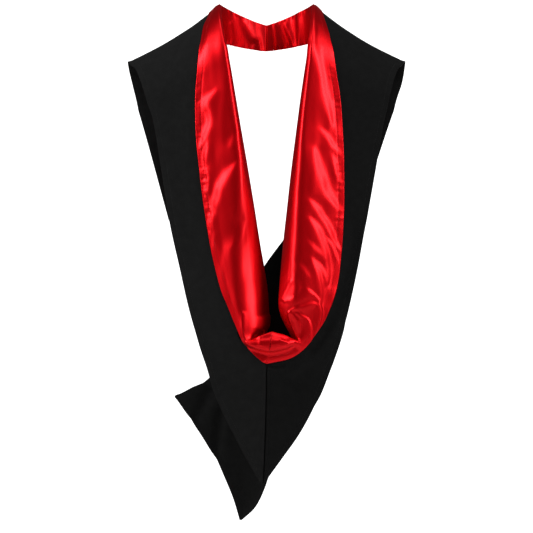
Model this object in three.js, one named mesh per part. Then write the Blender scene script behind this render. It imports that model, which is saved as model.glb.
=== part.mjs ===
import * as THREE from "three";

// An academic hood in the shape that it has when it is worn. The wearer faces +Y, so the back of the hood,
// with its turned-out satin facing, faces -Y. Millimetres, +Z up. The origin is the middle of the neck
// opening, level with the two neck points that the hood hangs from.

// Overall sizes
const hoodLength = 930; // from the neck points down to the tip of the liripipe
const shoulderSpan = 500; // across both shoulder tips
const neckWidth = 170; // between the two neck points
const shoulderFall = 112; // from a neck point down to a shoulder tip
const shoulderRound = 95; // height over which the cape turns over the shoulder
const backDepth = 112; // from the neck's middle back to the shoulder blades
const chestDepth = 60; // from the neck's middle forward to the front of the cape
const sideCurl = 0.45; // how much nearer the body the cape's outer edge lies, as a share of the depth
const lowerCurl = 0.5; // what is added to that share down the length of the hood

// Neckband
const throatDepth = 72; // from the neck's middle forward to the neckband
const bandHeight = 47; // at the centre front
const bandNotch = 38; // from the neck points down to the neckband's top at the centre front
const bandRise = 18; // how much higher the neckband's lower edge is at the side of the neck
const bandFlare = 8; // how far the lower edge stands outside the top edge

// Cloth
const clothWall = 1.6; // black woollen cloth, one layer
const satinWall = 1.2; // red satin, one layer
const tailWall = 3; // the liripipe, two layers of cloth
const seamGap = 0.7; // between two pieces that are sewn edge to edge
const layerGap = 1; // between two pieces that lie on each other

const LEFT = -1;
const RIGHT = 1;

// A table's rows as objects with named columns.
function table(columns, rows) {
  const names = columns.split(" ");
  return rows.map((row) => Object.fromEntries(names.map((name, i) => [name, row[i]])));
}

// A smooth curve through evenly spaced values, read at a share from 0 to 1.
function smooth(values) {
  const curve = new THREE.SplineCurve(values.map((value, i) => new THREE.Vector2(i, value)));
  return (share) => curve.getPoint(share).y;
}

// Smooth curves along a table, one for each column.
function curvesOf(rows) {
  return Object.fromEntries(
    Object.keys(rows[0]).map((name) => [name, smooth(rows.map((row) => row[name]))]),
  );
}

const lerp = THREE.MathUtils.lerp;

// Widths in the tables below are shares of half the shoulder span, and this share is the neck point.
const neckShare = 0.34;
function acrossAt(share) {
  const neck = neckWidth / 2;
  const beyond = (Math.abs(share) - neckShare) / (1 - neckShare);
  const reach = beyond < 0 ? (neck * Math.abs(share)) / neckShare : lerp(neck, shoulderSpan / 2, beyond);
  return Math.sign(share) * reach;
}

// How deep the back lies at each tenth of the hood's length, as shares of backDepth. It is fullest at the
// mouth of the cowl and falls in towards the legs below it.
const backProfile = smooth([0.86, 0.9, 0.95, 1.0, 1.02, 1.03, 1.07, 1.05, 0.88, 0.74, 0.66]);

// How far the cape's inner face has fallen at each tenth of the way from a neck point to a shoulder tip,
// as shares of the whole fall. It is steep beside the neck and at the tip, and flatter between.
const fallProfile = smooth([0, 0.124, 0.242, 0.353, 0.453, 0.55, 0.64, 0.723, 0.801, 0.877, 1]);
const neckLayers = clothWall + layerGap + satinWall;

// Height of the shoulder line, which is the cape's inner face.
function shoulderLine(x) {
  const beyondNeck = (Math.abs(x) - neckWidth / 2) / (shoulderSpan / 2 - neckWidth / 2);
  const outward = THREE.MathUtils.clamp(beyondNeck, 0, 1);
  return -neckLayers - (shoulderFall - neckLayers) * fallProfile(outward);
}

// How far the cape stands from the neck's middle plane, at the back or on the chest.
function depthAt(x, z, isBack) {
  const down = THREE.MathUtils.clamp(-z / hoodLength, 0, 1);
  const across = (2 * x) / shoulderSpan;
  const curl = (sideCurl + lowerCurl * down) * across * across;
  const full = isBack ? backDepth * backProfile(down) : chestDepth;
  return full * (1 - curl);
}

// The path over a shoulder: 0 on the shoulder line, 1 where the rounded top ends, then one for each
// shoulderRound further down. It is positive down the back and negative down the chest.
function pathTo(x, z) {
  const below = shoulderLine(x) - z;
  if (below <= 0) return 0;
  if (below < shoulderRound) return (2 / Math.PI) * Math.acos(1 - below / shoulderRound);
  return below / shoulderRound;
}

// A point of the cape's inner face, or lift outside it.
function onCape(x, path, lift) {
  const way = Math.abs(path);
  const turn = (Math.min(way, 1) * Math.PI) / 2;
  const drop = Math.max(way - 1, 0) * shoulderRound;
  const z = shoulderLine(x) - shoulderRound + (shoulderRound + lift) * Math.cos(turn) - drop;
  const y = -Math.sign(path) * (depthAt(x, z, path > 0) + lift) * Math.sin(turn);
  return new THREE.Vector3(x, y, z);
}

// A point of the neckband. turn runs from 0 at the centre front to 1 at the side of the neck, rise from 0
// at the lower edge to 1 at the top, and out is how far it lies outside the band.
function onBand(side, turn, rise, out) {
  const angle = (turn * Math.PI) / 2;
  const outward = Math.sin(angle);
  const flare = (1 - rise) * bandFlare + out;
  const top = -bandNotch * (1 - (2 * outward + outward * outward) / 3);
  const bottom = -bandNotch - bandHeight + bandRise * (outward + outward * outward) * 0.5;
  return new THREE.Vector3(
    side * (neckWidth / 2 + flare) * outward,
    (throatDepth + flare) * Math.cos(angle),
    lerp(bottom, top, rise),
  );
}

// A closed wall of even thickness, with the grid of points as its middle surface.
function wall(grid, thickness) {
  const rows = grid.length;
  const columns = grid[0].length;
  const positions = [];
  const faces = [];
  const at = (row, column, face) => 2 * (row * columns + column) + face;
  for (let row = 0; row < rows; row++) {
    for (let column = 0; column < columns; column++) {
      const along = grid[Math.min(row + 1, rows - 1)][column].clone();
      along.sub(grid[Math.max(row - 1, 0)][column]);
      const across = grid[row][Math.min(column + 1, columns - 1)].clone();
      across.sub(grid[row][Math.max(column - 1, 0)]);
      const normal = along.cross(across).setLength(thickness / 2);
      const point = grid[row][column];
      positions.push(...point.clone().add(normal), ...point.clone().sub(normal));
    }
  }
  const quad = (a, b, c, d) => faces.push(a, b, c, a, c, d);
  for (let row = 0; row < rows - 1; row++) {
    for (let column = 0; column < columns - 1; column++) {
      const [a, b, c, d] = [[row, column], [row + 1, column], [row + 1, column + 1], [row, column + 1]];
      quad(at(...a, 0), at(...b, 0), at(...c, 0), at(...d, 0));
      quad(at(...d, 1), at(...c, 1), at(...b, 1), at(...a, 1));
    }
  }
  const rim = [
    ...Array.from({ length: columns - 1 }, (_, i) => [0, i]),
    ...Array.from({ length: rows - 1 }, (_, i) => [i, columns - 1]),
    ...Array.from({ length: columns - 1 }, (_, i) => [rows - 1, columns - 1 - i]),
    ...Array.from({ length: rows - 1 }, (_, i) => [rows - 1 - i, 0]),
  ];
  rim.forEach((from, i) => {
    const to = rim[(i + 1) % rim.length];
    quad(at(...from, 1), at(...from, 0), at(...to, 0), at(...to, 1));
  });
  const geometry = new THREE.BufferGeometry();
  geometry.setAttribute("position", new THREE.Float32BufferAttribute(positions, 3));
  geometry.setIndex(facingOut(positions, faces));
  geometry.computeVertexNormals();
  return geometry;
}

// The faces as they are, or turned round where they point into the solid.
function facingOut(positions, faces) {
  const corner = (i) => new THREE.Vector3().fromArray(positions, 3 * faces[i]);
  let volume = 0;
  for (let i = 0; i < faces.length; i += 3) {
    volume += corner(i).dot(corner(i + 1).cross(corner(i + 2)));
  }
  return volume < 0 ? faces.toReversed() : faces;
}

// A grid of points from a function of two shares, with steps along and across.
function gridOf(stepsAlong, stepsAcross, pointAt) {
  return Array.from({ length: stepsAlong + 1 }, (_, i) =>
    Array.from({ length: stepsAcross + 1 }, (_, j) => pointAt(i / stepsAlong, j / stepsAcross)),
  );
}

const satin = new THREE.MeshStandardMaterial({ color: 0xc20a1c, roughness: 0.32, metalness: 0.1 });
const blackCloth = new THREE.MeshStandardMaterial({ color: 0x151516, roughness: 0.85, metalness: 0 });

function piece(name, grid, thickness, material) {
  const mesh = new THREE.Mesh(wall(grid, thickness), material);
  mesh.name = name;
  return mesh;
}

// Shells: the black cape and cowl, one half each side, from the tip of the cowl up the back, over the
// shoulder and down the chest. Heights are shares of the hood's length below the neck points, and a height
// of 0 is on the shoulder line. inner is the centre seam, then the edge under the satin facing.
const SHELL_STEPS = 2; // steps between two rows of a shell table
const seamTopShare = 0.68; // how far down the centre seam begins
const SHELL_STEPS_ACROSS = 10;
const backColumns = "innerX innerZ outerX outerZ";
const leftBack = table(backColumns, [
  [-0.025, 0.93, -0.052, 0.924],
  [-0.018, 0.888, -0.14, 0.883],
  [-0.011, 0.83, -0.246, 0.828],
  [-0.004, 0.768, -0.353, 0.768],
  [0, 0.708, -0.427, 0.706],
  [0, 0.683, -0.456, 0.683],
  [-0.083, 0.668, -0.478, 0.665],
  [-0.176, 0.645, -0.504, 0.641],
  [-0.156, 0.585, -0.557, 0.59],
  [-0.119, 0.5, -0.624, 0.512],
  [-0.155, 0.41, -0.696, 0.426],
  [-0.202, 0.312, -0.752, 0.332],
  [-0.258, 0.216, -0.82, 0.222],
  [-0.308, 0.12, -0.895, 0.16],
  [-0.34, 0.06, -0.925, 0.138],
  [-0.352, 0.025, -0.955, 0.124],
  [-0.36, 0.006, -0.98, 0.119],
  [-0.362, 0, -1, 0],
]);
const rightBack = table(backColumns, [
  [-0.025, 0.93, -0.01, 0.925],
  [-0.018, 0.888, 0.104, 0.883],
  [-0.011, 0.83, 0.246, 0.828],
  [-0.004, 0.768, 0.367, 0.768],
  [0, 0.708, 0.463, 0.706],
  [0, 0.683, 0.493, 0.683],
  [0.13, 0.67, 0.515, 0.665],
  [0.258, 0.647, 0.541, 0.641],
  [0.215, 0.588, 0.592, 0.59],
  [0.165, 0.5, 0.657, 0.512],
  [0.178, 0.41, 0.716, 0.426],
  [0.225, 0.312, 0.778, 0.332],
  [0.268, 0.216, 0.851, 0.222],
  [0.32, 0.12, 0.905, 0.16],
  [0.343, 0.06, 0.93, 0.138],
  [0.352, 0.025, 0.957, 0.124],
  [0.358, 0.006, 0.98, 0.119],
  [0.36, 0, 1, 0],
]);
// On the chest the inner edge lies on the outside of the neckband, at a turn and a rise of the band.
const frontColumns = "bandTurn bandLevel outerX outerZ";
const leftFront = table(frontColumns, [
  [0.9, 0.93, -0.992, 0.128],
  [0.78, 0.78, -0.965, 0.158],
  [0.69, 0.5, -0.925, 0.205],
  [0.64, 0.4, -0.85, 0.276],
  [0.61, 0.25, -0.775, 0.35],
  [0.59, 0.04, -0.705, 0.42],
]);
const rightFront = table(frontColumns, [
  [0.9, 0.93, 0.994, 0.128],
  [0.78, 0.78, 0.974, 0.156],
  [0.69, 0.5, 0.924, 0.2],
  [0.64, 0.25, 0.846, 0.263],
  [0.61, 0.04, 0.75, 0.342],
]);

function shell(name, side, backRows, frontRows) {
  const middle = clothWall / 2;
  const bandSeat = satinWall / 2 + seamGap + middle;
  const down = backRows.map((row) => {
    const innerX = acrossAt(row.innerX);
    const outerX = acrossAt(row.outerX);
    return {
      seamX: row.innerZ > seamTopShare ? innerX : 0,
      innerX,
      innerPath: pathTo(innerX, -row.innerZ * hoodLength),
      outerX,
      outerPath: pathTo(outerX, -row.outerZ * hoodLength),
      forward: 0,
    };
  });
  const over = frontRows.map((row) => {
    const seat = onBand(side, row.bandTurn, row.bandLevel, bandSeat);
    const innerPath = -pathTo(seat.x, seat.z);
    const outerX = acrossAt(row.outerX);
    return {
      seamX: 0,
      innerX: seat.x,
      innerPath,
      outerX,
      outerPath: -pathTo(outerX, -row.outerZ * hoodLength),
      forward: seat.y - onCape(seat.x, innerPath, middle).y,
    };
  });
  const rows = [...down, ...over];
  const curve = curvesOf(rows);
  const grid = gridOf(SHELL_STEPS * (rows.length - 1), SHELL_STEPS_ACROSS, (along, across) => {
    const seamX = side * curve.seamX(along) + seamGap / 2;
    const innerX = side * Math.max(side * curve.innerX(along), seamX);
    const x = lerp(innerX, curve.outerX(along), across);
    const path = lerp(curve.innerPath(along), curve.outerPath(along), across);
    const point = onCape(x, path, middle);
    point.y += curve.forward(along) * (1 - across) ** 2;
    return point;
  });
  return piece(name, grid, clothWall, blackCloth);
}

// Facings: the turned-out satin, from the neck point down round the neck opening to the lip at the bottom
// of the cowl's mouth. Each row is one section from the hem, over the crest of the roll, round the edge of
// the opening and back inside. Lifts and depths are shares of backDepth; insideY is measured from the
// neck's middle plane.
const FACING_STEPS = 3;
const FACING_STEPS_ACROSS = 12;
const facingColumns = "hemX hemZ crestX crestZ crestLift rollX rollZ rollLift insideX insideZ insideY";
const leftFacing = table(facingColumns, [
  [-0.41, 0, -0.378, 0, 0.034, -0.338, 0, 0.022, -0.366, 0.07, -0.03],
  [-0.424, 0.029, -0.378, 0.021, 0.05, -0.332, 0.012, 0.015, -0.36, 0.066, -0.3],
  [-0.454, 0.047, -0.378, 0.043, 0.08, -0.323, 0.039, 0, -0.348, 0.068, -0.62],
  [-0.472, 0.073, -0.372, 0.07, 0.095, -0.3, 0.068, 0, -0.342, 0.09, -0.7],
  [-0.49, 0.101, -0.364, 0.098, 0.11, -0.274, 0.1, 0, -0.332, 0.116, -0.76],
  [-0.513, 0.177, -0.342, 0.173, 0.13, -0.23, 0.171, 0, -0.298, 0.182, -0.83],
  [-0.509, 0.254, -0.306, 0.246, 0.145, -0.187, 0.241, 0, -0.26, 0.254, -0.87],
  [-0.482, 0.328, -0.256, 0.316, 0.15, -0.141, 0.312, 0, -0.213, 0.326, -0.9],
  [-0.446, 0.403, -0.205, 0.394, 0.155, -0.092, 0.39, 0, -0.166, 0.402, -0.91],
  [-0.396, 0.481, -0.162, 0.473, 0.16, -0.045, 0.469, 0, -0.118, 0.482, -0.91],
  [-0.338, 0.545, -0.137, 0.541, 0.165, 0, 0.539, -0.02, -0.076, 0.554, -0.88],
  [-0.281, 0.585, -0.144, 0.585, 0.15, 0.016, 0.585, -0.12, -0.032, 0.606, -0.78],
  [-0.22, 0.625, -0.162, 0.622, 0.1, 0.014, 0.626, -0.3, -0.018, 0.645, -0.72],
  [-0.169, 0.655, -0.158, 0.648, 0.06, -0.076, 0.648, -0.26, -0.032, 0.66, -0.7],
  [-0.104, 0.677, -0.097, 0.661, 0.09, -0.072, 0.646, 0.04, -0.054, 0.666, -0.86],
]);
const rightFacing = table(facingColumns, [
  [0.396, 0, 0.367, 0, 0.034, 0.334, 0, 0.022, 0.36, 0.07, -0.03],
  [0.413, 0.029, 0.37, 0.021, 0.05, 0.326, 0.012, 0.015, 0.354, 0.066, -0.3],
  [0.436, 0.047, 0.378, 0.043, 0.08, 0.317, 0.04, 0, 0.345, 0.068, -0.62],
  [0.462, 0.073, 0.378, 0.07, 0.095, 0.302, 0.07, 0, 0.348, 0.09, -0.7],
  [0.486, 0.101, 0.374, 0.1, 0.11, 0.291, 0.101, 0, 0.35, 0.116, -0.76],
  [0.529, 0.177, 0.364, 0.175, 0.13, 0.251, 0.177, 0, 0.318, 0.186, -0.83],
  [0.551, 0.254, 0.331, 0.252, 0.145, 0.214, 0.254, 0, 0.285, 0.264, -0.87],
  [0.56, 0.328, 0.306, 0.326, 0.15, 0.18, 0.326, 0, 0.256, 0.337, -0.9],
  [0.558, 0.403, 0.274, 0.401, 0.155, 0.149, 0.401, 0, 0.228, 0.412, -0.91],
  [0.542, 0.477, 0.248, 0.475, 0.16, 0.119, 0.473, 0, 0.198, 0.486, -0.91],
  [0.511, 0.546, 0.234, 0.545, 0.165, 0.096, 0.543, 0, 0.172, 0.558, -0.88],
  [0.457, 0.591, 0.241, 0.587, 0.17, 0.09, 0.587, -0.02, 0.155, 0.61, -0.8],
  [0.392, 0.626, 0.263, 0.616, 0.15, 0.137, 0.622, -0.06, 0.184, 0.641, -0.8],
  [0.313, 0.656, 0.262, 0.648, 0.1, 0.218, 0.652, 0, 0.191, 0.666, -0.8],
  [0.184, 0.685, 0.162, 0.666, 0.1, 0.144, 0.643, 0.04, 0.126, 0.666, -0.86],
]);
// Both facings end in the seam down the middle of the lip.
const [lipSeam] = table(facingColumns, [
  [0, 0.697, 0.022, 0.67, 0.13, 0.04, 0.635, 0.06, 0.04, 0.662, -0.86],
]);
// Soft folds of the satin: each runs from one place to another, as shares along and across its facing.
const foldColumns = "fromAlong fromAcross toAlong toAcross width height";
const leftFolds = table(foldColumns, [
  [0.24, 0.1, 0.2, 0.32, 0.05, 0.03],
  [0.4, 0.08, 0.34, 0.34, 0.05, 0.03],
  [0.5, 0.1, 0.45, 0.3, 0.04, 0.03],
]);
const rightFolds = table(foldColumns, [
  [0.44, 0.36, 0.54, 0.12, 0.04, 0.04],
  [0.52, 0.38, 0.64, 0.14, 0.04, 0.05],
  [0.66, 0.46, 0.74, 0.2, 0.03, 0.07],
  [0.78, 0.56, 0.8, 0.26, 0.03, 0.08],
]);

// Height of the folds at a place on a facing.
function foldHeight(folds, along, across) {
  const place = new THREE.Vector3(along, across, 0);
  const nearest = new THREE.Vector3();
  return folds.reduce((sum, fold) => {
    const from = new THREE.Vector3(fold.fromAlong, fold.fromAcross, 0);
    const to = new THREE.Vector3(fold.toAlong, fold.toAcross, 0);
    new THREE.Line3(from, to).closestPointToPoint(place, true, nearest);
    const away = nearest.distanceTo(place) / fold.width;
    return sum + fold.height * backDepth * Math.exp(-away * away);
  }, 0);
}

function facing(name, side, sections, folds) {
  const hemLift = clothWall + layerGap + satinWall / 2;
  const rows = [...sections, lipSeam].map((row) => {
    const shift = row === lipSeam ? (side * seamGap) / 2 : 0;
    const x = (share) => acrossAt(share) + shift;
    const path = (share, z) => pathTo(x(share), -z * hoodLength);
    return {
      hemX: x(row.hemX),
      hemPath: path(row.hemX, row.hemZ),
      crestX: x(row.crestX),
      crestPath: path(row.crestX, row.crestZ),
      crestLift: row.crestLift * backDepth,
      rollX: x(row.rollX),
      rollPath: path(row.rollX, row.rollZ),
      rollLift: row.rollLift * backDepth,
      insideX: x(row.insideX),
      insideY: row.insideY * backDepth,
      insideZ: -row.insideZ * hoodLength,
    };
  });
  const curve = curvesOf(rows);
  const sectionAt = (along) => {
    const at = (name) => curve[name](along);
    const flankX = lerp(at("hemX"), at("crestX"), 0.4);
    const flankPath = lerp(at("hemPath"), at("crestPath"), 0.4);
    const flankLift = lerp(hemLift, at("crestLift"), 0.55);
    return new THREE.CatmullRomCurve3([
      onCape(at("hemX"), at("hemPath"), hemLift),
      onCape(flankX, flankPath, flankLift),
      onCape(at("crestX"), at("crestPath"), at("crestLift")),
      onCape(at("rollX"), at("rollPath"), at("rollLift")),
      new THREE.Vector3(at("insideX"), at("insideY"), at("insideZ")),
    ]);
  };
  const grid = gridOf(FACING_STEPS * (rows.length - 1), FACING_STEPS_ACROSS, (along, across) => {
    const point = sectionAt(along).getPoint(across);
    point.y -= foldHeight(folds, along, across);
    return point;
  });
  return piece(name, grid, satinWall, satin);
}

// Neckband: two halves with a seam at the centre front, ending at the sides of the neck.
const BAND_STEPS_AROUND = 14;
const BAND_STEPS_UP = 4;
function neckband(name, side) {
  const seamTurn = seamGap / neckWidth;
  const endTurn = 0.985;
  const grid = gridOf(BAND_STEPS_AROUND, BAND_STEPS_UP, (around, rise) => {
    return onBand(side, lerp(seamTurn, endTurn, around), rise, 0);
  });
  return piece(name, grid, satinWall, satin);
}

// Liripipe: the double-layered tail behind the cowl. Its right edge is sewn along the right shell, and its
// left corner and tip hang free. In is how far it lies inside that seam, as a share of backDepth.
const TAIL_STEPS = 2;
const TAIL_STEPS_ACROSS = 9;
const tailRows = table("leftX leftZ leftIn rightX rightZ rightIn", [
  [0.155, 0.446, 0.48, 0.328, 0.427, 0.3],
  [-0.011, 0.506, 0.5, 0.508, 0.488, 0.1],
  [-0.104, 0.554, 0.52, 0.59, 0.554, 0],
  [-0.205, 0.612, 0.52, 0.54, 0.612, 0],
  [-0.32, 0.674, 0.45, 0.478, 0.674, 0],
  [-0.407, 0.724, 0.36, 0.386, 0.738, 0],
  [-0.551, 0.746, 0.3, 0.31, 0.786, 0],
  [-0.618, 0.755, 0.28, 0.255, 0.812, 0],
  [-0.659, 0.76, 0.27, 0.222, 0.828, 0],
  [-0.632, 0.771, 0.26, 0.188, 0.843, 0],
  [-0.566, 0.797, 0.25, 0.146, 0.862, 0],
  [-0.465, 0.837, 0.24, 0.079, 0.889, 0],
  [-0.381, 0.875, 0.23, 0.02, 0.912, 0],
  [-0.306, 0.914, 0.22, -0.012, 0.935, 0.02],
  [-0.246, 0.953, 0.21, -0.05, 0.959, 0.07],
  [-0.215, 0.979, 0.2, -0.098, 0.979, 0.12],
  [-0.197, 0.994, 0.2, -0.168, 0.993, 0.18],
]);

function liripipe(name) {
  const seat = -(tailWall / 2 + layerGap);
  const edge = (x, z, inward) => ({
    x: acrossAt(x),
    path: pathTo(acrossAt(x), -z * hoodLength),
    lift: seat - inward * backDepth,
  });
  const left = curvesOf(tailRows.map((row) => edge(row.leftX, row.leftZ, row.leftIn)));
  const right = curvesOf(tailRows.map((row) => edge(row.rightX, row.rightZ, row.rightIn)));
  const grid = gridOf(TAIL_STEPS * (tailRows.length - 1), TAIL_STEPS_ACROSS, (along, across) => {
    const at = (name) => lerp(left[name](along), right[name](along), across);
    const inward = lerp(left.lift(along), right.lift(along), across ** 3);
    return onCape(at("x"), at("path"), inward);
  });
  return piece(name, grid, tailWall, blackCloth);
}

const hood = new THREE.Group();
hood.add(
  shell("shell_left", LEFT, leftBack, leftFront),
  shell("shell_right", RIGHT, rightBack, rightFront),
  facing("facing_left", LEFT, leftFacing, leftFolds),
  facing("facing_right", RIGHT, rightFacing, rightFolds),
  neckband("neckband_left", LEFT),
  neckband("neckband_right", RIGHT),
  liripipe("liripipe"),
);

export default hood;
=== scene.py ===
import bpy
import bmesh
import numpy as np
from math import pi
from mathutils import Matrix, Vector, noise


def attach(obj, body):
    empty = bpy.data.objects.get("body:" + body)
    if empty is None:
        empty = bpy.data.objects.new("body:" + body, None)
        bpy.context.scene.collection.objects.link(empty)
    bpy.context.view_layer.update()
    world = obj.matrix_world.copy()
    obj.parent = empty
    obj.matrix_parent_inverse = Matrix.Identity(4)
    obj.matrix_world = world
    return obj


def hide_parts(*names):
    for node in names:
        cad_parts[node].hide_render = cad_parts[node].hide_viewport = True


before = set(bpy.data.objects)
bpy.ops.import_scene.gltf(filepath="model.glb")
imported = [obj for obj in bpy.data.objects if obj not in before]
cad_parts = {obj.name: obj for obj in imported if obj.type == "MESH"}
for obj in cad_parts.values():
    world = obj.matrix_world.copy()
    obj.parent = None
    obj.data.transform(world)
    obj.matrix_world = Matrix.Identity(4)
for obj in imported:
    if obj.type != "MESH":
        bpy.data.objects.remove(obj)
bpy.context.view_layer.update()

# An academic hood in its worn shape, in metres. The wearer faces +Y, so the camera at -Y sees the back.
# The origin is the middle of the neck opening, level with the two neck points.
MM = 0.001

# Sizes of the hood, as in the part's source
hood_length = 0.93
half_span = 0.25
neck_half = 0.085
neck_share = 0.34
shoulder_fall = 0.112
shoulder_round = 0.095
back_depth = 0.112
chest_depth = 0.06
side_curl = 0.45
lower_curl = 0.5
throat_depth = 0.072
band_height = 0.047
band_notch = 0.038
band_rise = 0.018
band_flare = 0.008
cloth_wall = 1.6 * MM
satin_wall = 1.2 * MM
tail_wall = 3 * MM
seam_gap = 0.7 * MM
layer_gap = 1 * MM
neck_layers = cloth_wall + layer_gap + satin_wall
LEFT = -1
RIGHT = 1


# Smooth curves through the rows of a table

def smooth(values):
    """A curve through evenly spaced values, read at shares from 0 to 1."""
    points = np.asarray(values, dtype=float)
    last = len(points) - 1

    def read(share):
        place = np.clip(np.asarray(share, dtype=float), 0, 1) * last
        start = np.minimum(place.astype(int), last - 1)
        t = place - start
        start = start[..., 0] if points.ndim > 1 else start
        before, here = points[np.maximum(start - 1, 0)], points[start]
        after, beyond = points[start + 1], points[np.minimum(start + 2, last)]
        out_of, into = (after - before) / 2, (beyond - here) / 2
        return (
            (2 * here - 2 * after + out_of + into) * t**3
            + (-3 * here + 3 * after - 2 * out_of - into) * t**2
            + out_of * t
            + here
        )

    return read


def rounded(stations, share):
    """Points along the curve through a stack of stations, with tangents that suit uneven steps."""
    before_first = 2 * stations[:1] - stations[1:2]
    after_last = 2 * stations[-1:] - stations[-2:-1]
    points = np.concatenate([before_first, stations, after_last])
    spans = np.maximum(np.linalg.norm(np.diff(points, axis=0), axis=-1, keepdims=True), 1e-9) ** 0.5
    last = len(stations) - 1
    place = np.clip(share, 0, 1) * last
    start = np.minimum(place.astype(int), last - 1)
    t = (place - start)[:, None, None]
    before, here, after, beyond = [points[start + i] for i in range(4)]
    lead, span, follow = [spans[start + i] for i in range(3)]
    out_of = ((here - before) / lead - (after - before) / (lead + span) + (after - here) / span) * span
    into = ((after - here) / span - (beyond - here) / (span + follow) + (beyond - after) / follow) * span
    return (
        (2 * here - 2 * after + out_of + into) * t**3
        + (-3 * here + 3 * after - 2 * out_of - into) * t**2
        + out_of * t
        + here
    )


def curves_of(columns, rows):
    """Smooth curves along a table, one for each named column."""
    return {name: smooth([row[i] for row in rows]) for i, name in enumerate(columns.split())}


def step(low, high, value):
    """0 below low, 1 above high, and a soft rise between."""
    t = np.clip((value - low) / (high - low), 0, 1)
    return t * t * (3 - 2 * t)


def blend(a, b, share):
    return a + (b - a) * share


# The form of the body underneath: the back's depth from the neck points down, as shares of back_depth,
# and the shoulder's fall from the neck point out to the tip, as shares of shoulder_fall

BACK_PROFILE = smooth([0.86, 0.9, 0.95, 1.0, 1.02, 1.03, 1.07, 1.05, 0.88, 0.74, 0.66])
FALL_PROFILE = smooth([0, 0.124, 0.242, 0.353, 0.453, 0.55, 0.64, 0.723, 0.801, 0.877, 0.942])


def across_at(share):
    """Shares of half the shoulder span, where neck_share is the neck point."""
    share = np.asarray(share, dtype=float)
    reach = np.abs(share)
    beyond = (reach - neck_share) / (1 - neck_share)
    inner = neck_half * reach / neck_share
    return np.sign(share) * np.where(beyond < 0, inner, blend(neck_half, half_span, beyond))


def shoulder_line(x):
    outward = np.clip((np.abs(x) - neck_half) / (half_span - neck_half), 0, 1)
    return -neck_layers - (shoulder_fall - neck_layers) * FALL_PROFILE(outward)


def path_to(x, z):
    """0 on the shoulder line, 1 where the rounded top ends, then one for each shoulder_round."""
    below = np.maximum(shoulder_line(x) - z, 0) / shoulder_round
    return np.where(below < 1, np.arccos(1 - np.minimum(below, 1)) * 2 / pi, below)


def on_cape(x, path, lift):
    """A point of the cape's inner face, or lift outside it. path is positive down the back."""
    way = np.abs(path)
    turn = np.minimum(way, 1) * pi / 2
    drop = np.maximum(way - 1, 0) * shoulder_round
    z = shoulder_line(x) - shoulder_round + (shoulder_round + lift) * np.cos(turn) - drop
    down = np.clip(-z / hood_length, 0, 1)
    curl = (side_curl + lower_curl * down) * (x / half_span) ** 2
    full = np.where(path > 0, back_depth * BACK_PROFILE(down), chest_depth)
    y = -np.sign(path) * (full * (1 - curl) + lift) * np.sin(turn)
    return np.stack(np.broadcast_arrays(x, y, z), axis=-1)


def on_band(side, turn, rise, out):
    """A point of the neckband, from turn 0 at the centre front and rise 0 at the lower edge."""
    angle = turn * pi / 2
    outward = np.sin(angle)
    flare = (1 - rise) * band_flare + out
    top = -band_notch * (1 - (2 * outward + outward**2) / 3)
    bottom = -band_notch - band_height + band_rise * (outward + outward**2) * 0.5
    x = side * (neck_half + flare) * outward
    y = (throat_depth + flare) * np.cos(angle)
    return np.stack(np.broadcast_arrays(x, y, blend(bottom, top, rise)), axis=-1)


# Cloth as a grid of points, with along down the rows and across over the columns

def shares(rows, columns):
    along, across = np.meshgrid(np.linspace(0, 1, rows), np.linspace(0, 1, columns), indexing="ij")
    return along, across


def normals_of(grid):
    normal = np.cross(np.gradient(grid, axis=0), np.gradient(grid, axis=1))
    return normal / np.maximum(np.linalg.norm(normal, axis=-1, keepdims=True), 1e-12)


def outward_normals(grid):
    """Normals that point to the camera's side, -Y, in the middle of the cloth."""
    normal = normals_of(grid)
    middle = normal[tuple(n // 2 for n in grid.shape[:2])]
    return normal if middle[1] < 0 else -normal


def noise_field(grid, size, seed):
    """Smooth noise from -1 to 1 at the grid's points; size is the width of a lump in metres."""
    offset = Vector((seed * 7.3, seed * 3.1, seed * 5.7))
    scale = 1 / np.asarray(size)
    flat = [noise.noise(Vector(point * scale) + offset) for point in grid.reshape(-1, 3)]
    return np.array(flat).reshape(grid.shape[:2])


def distance_across(grid):
    """Distance of each point from the first column, along its row."""
    steps = np.linalg.norm(np.diff(grid, axis=1), axis=-1)
    return np.concatenate([np.zeros((len(grid), 1)), np.cumsum(steps, axis=1)], axis=1)


def share_down(grid):
    """How far down the hood each point lies, as a share of its length."""
    return -grid[..., 2] / hood_length


def edge_ridge(distance, shape):
    """The height of a ridge beside an edge, or of a groove where its height is below 0."""
    height, middle, half_width = shape
    return height * np.exp(-((distance - middle) / half_width) ** 2)


def placed(name, bm, material):
    """The smoothly shaded object that a finished bmesh makes."""
    mesh = bpy.data.meshes.new(name)
    bm.to_mesh(mesh)
    bm.free()
    for face in mesh.polygons:
        face.use_smooth = True
    mesh.materials.append(material)
    piece = bpy.data.objects.new(name, mesh)
    bpy.context.collection.objects.link(piece)
    return piece


def cloth_piece(name, grid, wall, material, nodes):
    """A sheet of cloth with a wall, which stands for one of the frame's nodes."""
    rows, columns = grid.shape[:2]
    bm = bmesh.new()
    bmesh.ops.create_grid(bm, x_segments=rows - 1, y_segments=columns - 1, size=0.5, calc_uvs=True)
    for vertex in bm.verts:
        row = round((vertex.co.x + 0.5) * (rows - 1))
        column = round((vertex.co.y + 0.5) * (columns - 1))
        vertex.co = grid[row, column]
    piece = placed(name, bm, material)
    thick = piece.modifiers.new("wall", "SOLIDIFY")
    thick.thickness = wall
    thick.offset = 0
    thick.use_even_offset = False
    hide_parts(*nodes)
    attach(piece, "root")
    return piece


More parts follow.
